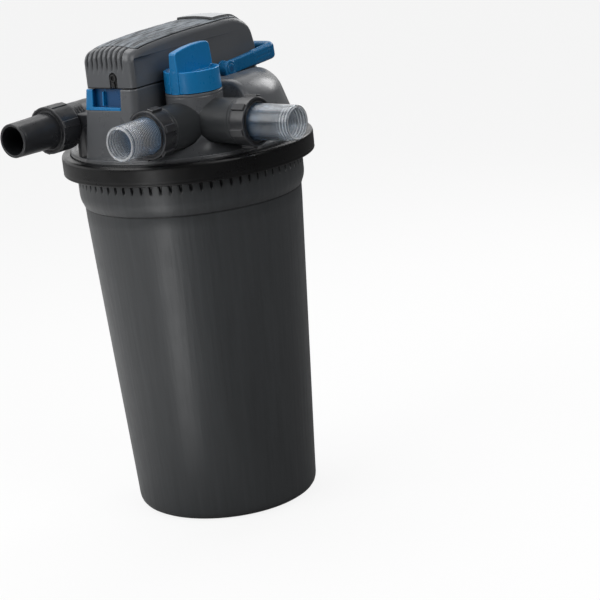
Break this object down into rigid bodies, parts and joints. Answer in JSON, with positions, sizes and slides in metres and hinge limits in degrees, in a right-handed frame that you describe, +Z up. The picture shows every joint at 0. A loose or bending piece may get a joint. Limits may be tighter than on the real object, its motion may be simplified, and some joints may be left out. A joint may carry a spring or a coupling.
{
  "type": "pond filter",
  "caption": "Pressurised pond filter: tapered container, clamped domed lid with ultraviolet head, diverter valve with clear outlets, hose inlet and a foam-squeezing lift handle.",
  "frame": {"origin": "centre of the container's flat base, on the container's axis, at the ground", "axes": "+Z up along the container's axis; -Y the way the inlet and the front outlet point; +X the way the second outlet points; +Y the rear of the lamp hood"},
  "size_m": [0.458, 0.453, 0.7393],
  "materials": {
    "bucket_plastic": "moulded satin black-grey with faint upright facets",
    "ring_plastic": "satin black moulding",
    "lid_plastic": "smooth dark grey moulding",
    "hood_plastic": "fine grained dark grey moulding",
    "fitting_plastic": "black injection moulding",
    "blue_plastic": "satin blue moulding",
    "clear_plastic": "clear moulding with turned rings",
    "rubber": "matt black",
    "steel": "stainless",
    "ballast_case": "plain",
    "ceramic": "white lamp cap",
    "lamp_glass": "clear lamp glass",
    "quartz_glass": "clear quartz",
    "foam_blue": "open-cell filter foam",
    "foam_green": "open-cell filter foam"
  },
  "bodies": {
    "filter_body": {"container": "bucket_plastic", "lid": "lid_plastic", "lid_seal": "rubber", "clamp_ring": "ring_plastic", "clamp_bolt": "steel", "inlet_elbow": "fitting_plastic", "inlet_tail": "fitting_plastic", "inlet_seal": "rubber", "valve_body": "lid_plastic", "valve_stem_seal": "rubber", "front_outlet_tail": "clear_plastic", "front_outlet_seal": "rubber", "right_outlet_tail": "clear_plastic", "right_outlet_seal": "rubber", "quartz_sleeve": "quartz_glass", "sleeve_nut": "fitting_plastic", "rod_seal_left": "rubber", "rod_seal_right": "rubber", "top_plate": "fitting_plastic", "strainer_tube": "fitting_plastic", "foam_ring_1": "foam_blue", "foam_ring_2": "foam_green", "foam_ring_3": "foam_blue", "foam_ring_4": "foam_green", "foam_ring_5": "foam_blue", "foam_ring_6": "foam_green"},
    "clamp_knob": {"clamp_hand_knob": "ring_plastic"},
    "inlet_nut_turning": {"inlet_nut": "fitting_plastic"},
    "front_nut_turning": {"front_outlet_nut": "fitting_plastic"},
    "right_nut_turning": {"right_outlet_nut": "fitting_plastic"},
    "valve": {"valve_knob": "blue_plastic", "valve_rotor": "fitting_plastic"},
    "latch": {"release_latch": "blue_plastic"},
    "uv_head": {"hood": "hood_plastic", "cable_grommet": "rubber", "head_base_plate": "hood_plastic", "ballast": "ballast_case", "lamp_socket": "ceramic", "uvc_lamp": "lamp_glass"},
    "cleaning_rods": {"pull_rod_left": "blue_plastic", "pull_rod_right": "blue_plastic", "press_plate": "blue_plastic", "pivot_pin_left": "steel", "pivot_pin_right": "steel"},
    "bail": {"bail_handle": "blue_plastic"}
  },
  "joints": [
    {"name": "valve_turn", "type": "hinge", "parent": "filter_body", "child": "valve", "pos_m": [0.086, -0.072, 0.668], "axis": [0, 0, 1], "range_deg": [0, 90]},
    {"name": "cleaning_lift", "type": "slide", "parent": "filter_body", "child": "cleaning_rods", "axis": [0, 0, 1], "range_m": [0, 0.12], "deforming": ["foam_ring_1", "foam_ring_2", "foam_ring_3", "foam_ring_4", "foam_ring_5", "foam_ring_6"]},
    {"name": "bail_fold", "type": "hinge", "parent": "cleaning_rods", "child": "bail", "pos_m": [0, 0.034, 0.663], "axis": [1, 0, 0], "range_deg": [0, 84]},
    {"name": "latch_pull", "type": "slide", "parent": "filter_body", "child": "latch", "axis": [0, -1, 0], "range_m": [0, 0.006]},
    {"name": "head_lift", "type": "slide", "parent": "filter_body", "child": "uv_head", "axis": [0, 0, 1], "range_m": [0, 0.025]},
    {"name": "clamp_knob_turn", "type": "hinge", "parent": "filter_body", "child": "clamp_knob", "pos_m": [-0.13416, 0.15434, 0.546], "axis": [-0.7547, -0.6561, 0], "continuous": true},
    {"name": "inlet_nut_turn", "type": "hinge", "parent": "filter_body", "child": "inlet_nut_turning", "pos_m": [-0.1, -0.173, 0.612], "axis": [0, -1, 0], "continuous": true},
    {"name": "front_nut_turn", "type": "hinge", "parent": "filter_body", "child": "front_nut_turning", "pos_m": [0.086, -0.1715, 0.6085], "axis": [0, -1, 0], "continuous": true},
    {"name": "right_nut_turn", "type": "hinge", "parent": "filter_body", "child": "right_nut_turning", "pos_m": [0.1855, -0.072, 0.6085], "axis": [1, 0, 0], "continuous": true}
  ]
}
